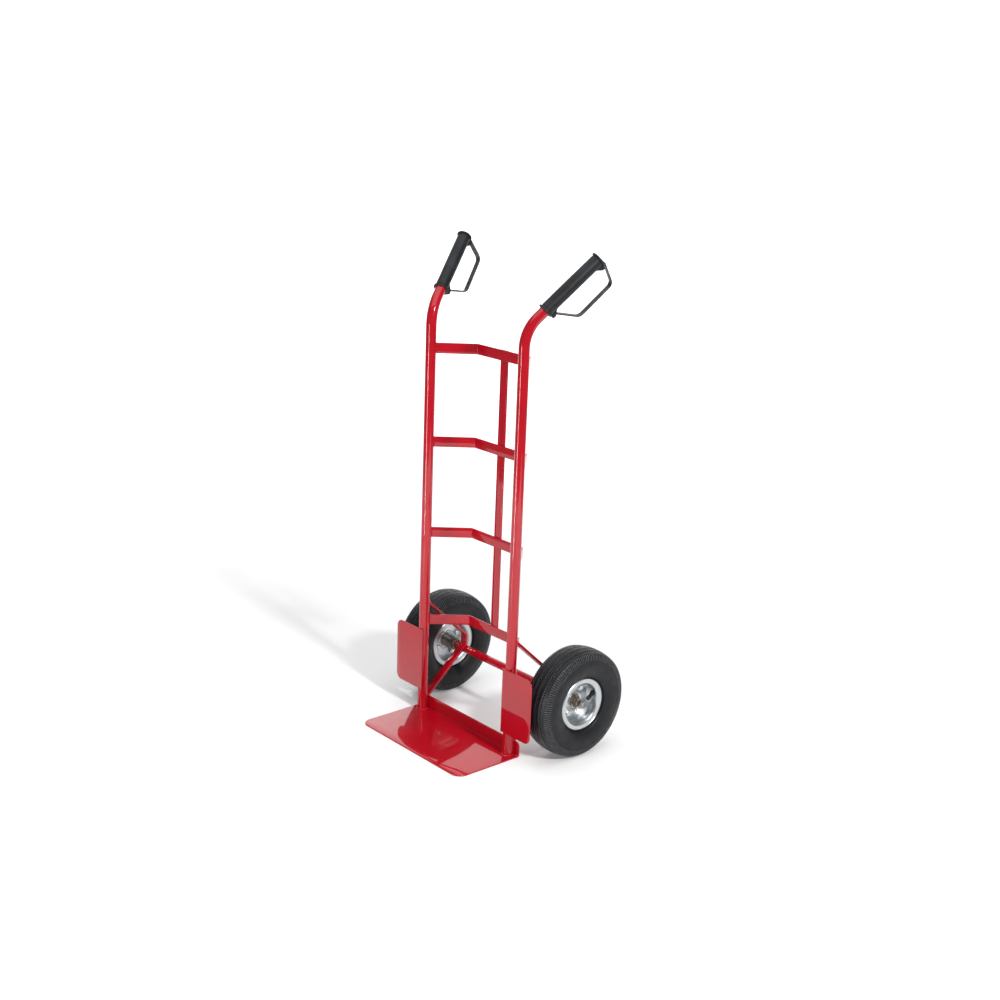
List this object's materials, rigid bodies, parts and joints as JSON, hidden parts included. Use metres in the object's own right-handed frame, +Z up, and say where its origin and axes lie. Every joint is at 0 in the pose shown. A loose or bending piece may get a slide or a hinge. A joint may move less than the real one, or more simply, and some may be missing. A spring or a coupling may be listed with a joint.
{
  "type": "hand truck",
  "caption": "Upright hand truck with a welded tube frame, curved cross bars, a fixed toe plate, air-filled tyres and guarded rubber hand grips.",
  "frame": {"origin": "on the floor, midway between the two rails and level with their axes", "axes": "+Z up, +Y towards the wheels and handles, +X towards the right-hand wheel"},
  "size_m": [0.5524, 0.4325, 1.1655],
  "materials": {
    "red_enamel": "glossy red enamel over welded steel tube and strip",
    "grip_rubber": "moulded black rubber, satin",
    "guard_steel": "dark satin steel strip",
    "tyre_rubber": "black tyre rubber",
    "soft_rubber": "soft black rubber",
    "zinc_plate": "bright zinc plated pressed steel",
    "weathered_steel": "bare steel with a brown bloom of rust",
    "roller_steel": "ground steel",
    "black_plastic": "moulded black plastic"
  },
  "bodies": {
    "frame": {"axle": "red_enamel", "axle_bracket_left": "red_enamel", "axle_bracket_right": "red_enamel", "axle_washer_left": "weathered_steel", "axle_washer_right": "weathered_steel", "centre_strap": "red_enamel", "cross_bar_1": "red_enamel", "cross_bar_2": "red_enamel", "cross_bar_3": "red_enamel", "cross_bar_4": "red_enamel", "grip_left": "grip_rubber", "grip_right": "grip_rubber", "knuckle_guard_left": "guard_steel", "knuckle_guard_right": "guard_steel", "rail_left": "red_enamel", "rail_right": "red_enamel", "split_pin_left": "weathered_steel", "split_pin_right": "weathered_steel", "stop_collar_left": "weathered_steel", "stop_collar_right": "weathered_steel", "toe_plate": "red_enamel", "wheel_guard_left": "red_enamel", "wheel_guard_right": "red_enamel"},
    "wheel_left": {"tyre_left": "tyre_rubber", "inner_tube_left": "soft_rubber", "rim_outer_left": "zinc_plate", "rim_inner_left": "zinc_plate", "rim_bolts_left": "zinc_plate", "rim_nuts_left": "zinc_plate", "hub_tube_left": "weathered_steel", "roller_cage_left": "black_plastic", "rollers_left": "roller_steel", "valve_stem_left": "soft_rubber", "valve_cap_left": "black_plastic"},
    "wheel_right": {"tyre_right": "tyre_rubber", "inner_tube_right": "soft_rubber", "rim_outer_right": "zinc_plate", "rim_inner_right": "zinc_plate", "rim_bolts_right": "zinc_plate", "rim_nuts_right": "zinc_plate", "hub_tube_right": "weathered_steel", "roller_cage_right": "black_plastic", "rollers_right": "roller_steel", "valve_stem_right": "soft_rubber", "valve_cap_right": "black_plastic"}
  },
  "joints": [
    {"name": "wheel_left_spin", "type": "hinge", "parent": "frame", "child": "wheel_left", "pos_m": [-0.236, 0.133, 0.13], "axis": [1, 0, 0], "continuous": true},
    {"name": "wheel_right_spin", "type": "hinge", "parent": "frame", "child": "wheel_right", "pos_m": [0.236, 0.133, 0.13], "axis": [1, 0, 0], "continuous": true}
  ]
}
